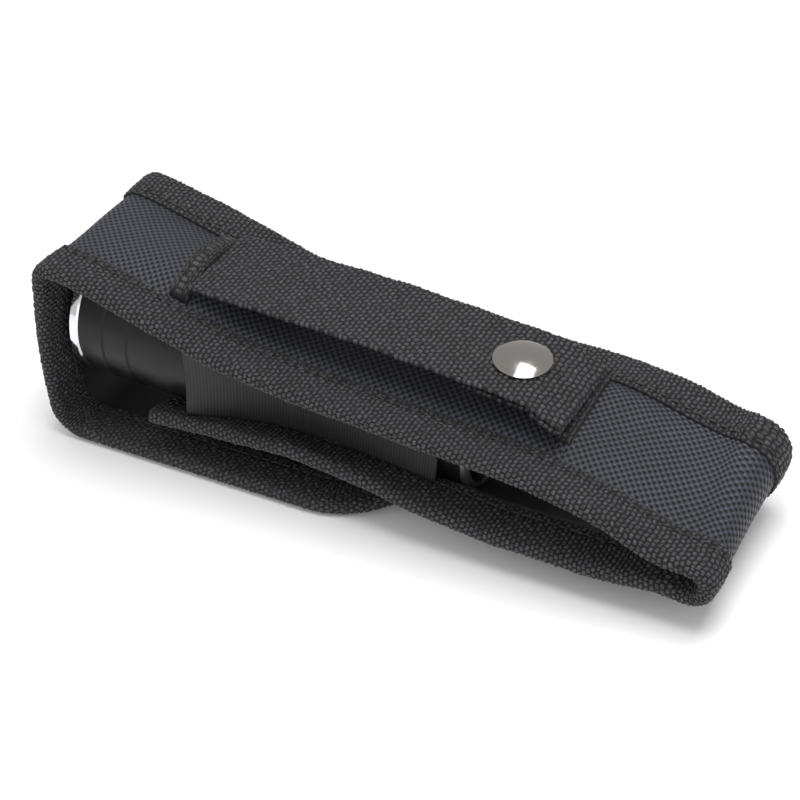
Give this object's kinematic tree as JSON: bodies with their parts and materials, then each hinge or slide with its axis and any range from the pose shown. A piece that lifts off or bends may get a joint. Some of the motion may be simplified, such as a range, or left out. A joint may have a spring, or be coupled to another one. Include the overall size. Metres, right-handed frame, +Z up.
{
  "type": "tactical flashlight",
  "caption": "Zoom flashlight stowed in a padded nylon belt holster with a fold-over flap, side elastics and a snap-closed belt loop.",
  "frame": {"origin": "centre of the bounding box at the table, under the closed flap", "axes": "+X from the lamp head to the bottom of the pouch, +Y across the holster, +Z up"},
  "size_m": [0.1867, 0.05, 0.0551],
  "materials": {
    "ballistic_nylon": "coarse plain-woven ballistic cloth",
    "padding_foam": "closed-cell padding, matte",
    "lining_cloth": "fine plain-woven lining",
    "binding_webbing": "coarse woven binding tape with stitched inner edge",
    "strap_webbing": "coarse basket-woven belt webbing",
    "elastic_webbing": "ribbed knitted elastic",
    "hook_and_loop": "hook and loop tape",
    "nickel": "polished nickel plate",
    "chrome_ring": "bright chrome plate",
    "lens_glass": "clear polished",
    "black_rubber": "moulded matte",
    "anodised_black": "satin black anodised",
    "bright_rim": "polished bevel",
    "bare_aluminium": "turned",
    "brass": "turned",
    "led_phosphor": "phosphor under a clear dome",
    "circuit_board": "solder mask",
    "spring_steel": "plated wire",
    "battery_wrap": "shrink sleeve",
    "black_plastic": "moulded"
  },
  "bodies": {
    "holster": {"back_shell": "ballistic_nylon", "back_foam": "padding_foam", "back_lining": "lining_cloth", "front_lining": "lining_cloth", "front_foam": "padding_foam", "front_shell": "ballistic_nylon", "near_edge_binding": "binding_webbing", "far_edge_binding": "binding_webbing", "mouth_binding": "binding_webbing", "near_elastic": "elastic_webbing", "far_elastic": "elastic_webbing", "pouch_loop_patch": "hook_and_loop", "strap_hem": "strap_webbing", "strap_base": "strap_webbing", "snap_stud": "nickel", "snap_post": "nickel"},
    "flap_end_wall": {"end_wall_shell": "ballistic_nylon", "end_wall_foam": "padding_foam", "end_wall_lining": "lining_cloth", "end_wall_near_binding": "binding_webbing", "end_wall_far_binding": "binding_webbing"},
    "flap_front": {"flap_shell": "ballistic_nylon", "flap_foam": "padding_foam", "flap_lining": "lining_cloth", "flap_binding": "binding_webbing", "flap_hook_patch": "hook_and_loop"},
    "belt_loop_strap": {"belt_strap": "strap_webbing", "snap_cap": "nickel", "snap_socket": "nickel"},
    "torch_head": {"bezel_ring": "chrome_ring", "lens": "lens_glass", "lens_o_ring": "black_rubber", "head_sleeve": "anodised_black"},
    "torch_barrel": {"barrel_tube": "anodised_black", "neck_o_ring": "black_rubber", "led_pill": "brass", "led_board": "bare_aluminium", "led_emitter": "led_phosphor", "driver_board": "circuit_board", "front_spring": "spring_steel", "battery_cell": "battery_wrap", "battery_cap": "bare_aluminium", "tail_o_ring": "black_rubber"},
    "tail_carrier": {"switch_retainer": "brass", "switch_body": "black_plastic", "tail_spring": "spring_steel"},
    "tail_cap": {"tail_cap": "anodised_black", "tail_ring": "bright_rim"},
    "tail_button": {"switch_plunger": "black_plastic", "button_boot": "black_rubber"}
  },
  "joints": [
    {"name": "flap_wall_fold", "type": "hinge", "parent": "holster", "child": "flap_end_wall", "pos_m": [-0.07986, 0, 0.05501], "axis": [0, 1, 0], "range_deg": [0, 150]},
    {"name": "flap_front_fold", "type": "hinge", "parent": "flap_end_wall", "child": "flap_front", "pos_m": [-0.08402, 0, 0], "axis": [0, 1, 0], "range_deg": [0, 110]},
    {"name": "belt_strap_lift", "type": "hinge", "parent": "holster", "child": "belt_loop_strap", "pos_m": [-0.04823, 0, 0.05076], "axis": [0, -1, 0], "range_deg": [0, 95]},
    {"name": "torch_slack", "type": "slide", "parent": "holster", "child": "torch_head", "axis": [0.9938, 0, -0.1115], "range_m": [-0.0012, 0]},
    {"name": "zoom", "type": "slide", "parent": "torch_head", "child": "torch_barrel", "axis": [0.9938, 0, -0.1115], "range_m": [0, 0.009]},
    {"name": "tail_travel", "type": "slide", "parent": "torch_barrel", "child": "tail_carrier", "axis": [0.9938, 0, -0.1115], "range_m": [0, 0.00401]},
    {"name": "tail_turn", "type": "hinge", "parent": "tail_carrier", "child": "tail_cap", "pos_m": [0.01778, 0, 0.01935], "axis": [0.9938, 0, -0.1115], "range_deg": [0, 1440]},
    {"name": "button_press", "type": "slide", "parent": "tail_cap", "child": "tail_button", "axis": [-0.9938, 0, 0.1115], "range_m": [0, 0.0015], "stiffness_N_per_m": 2500}
  ],
  "couplings": [
    {"joint": "tail_travel", "follows": "tail_turn", "m_per_rad": 0.00015915}
  ]
}
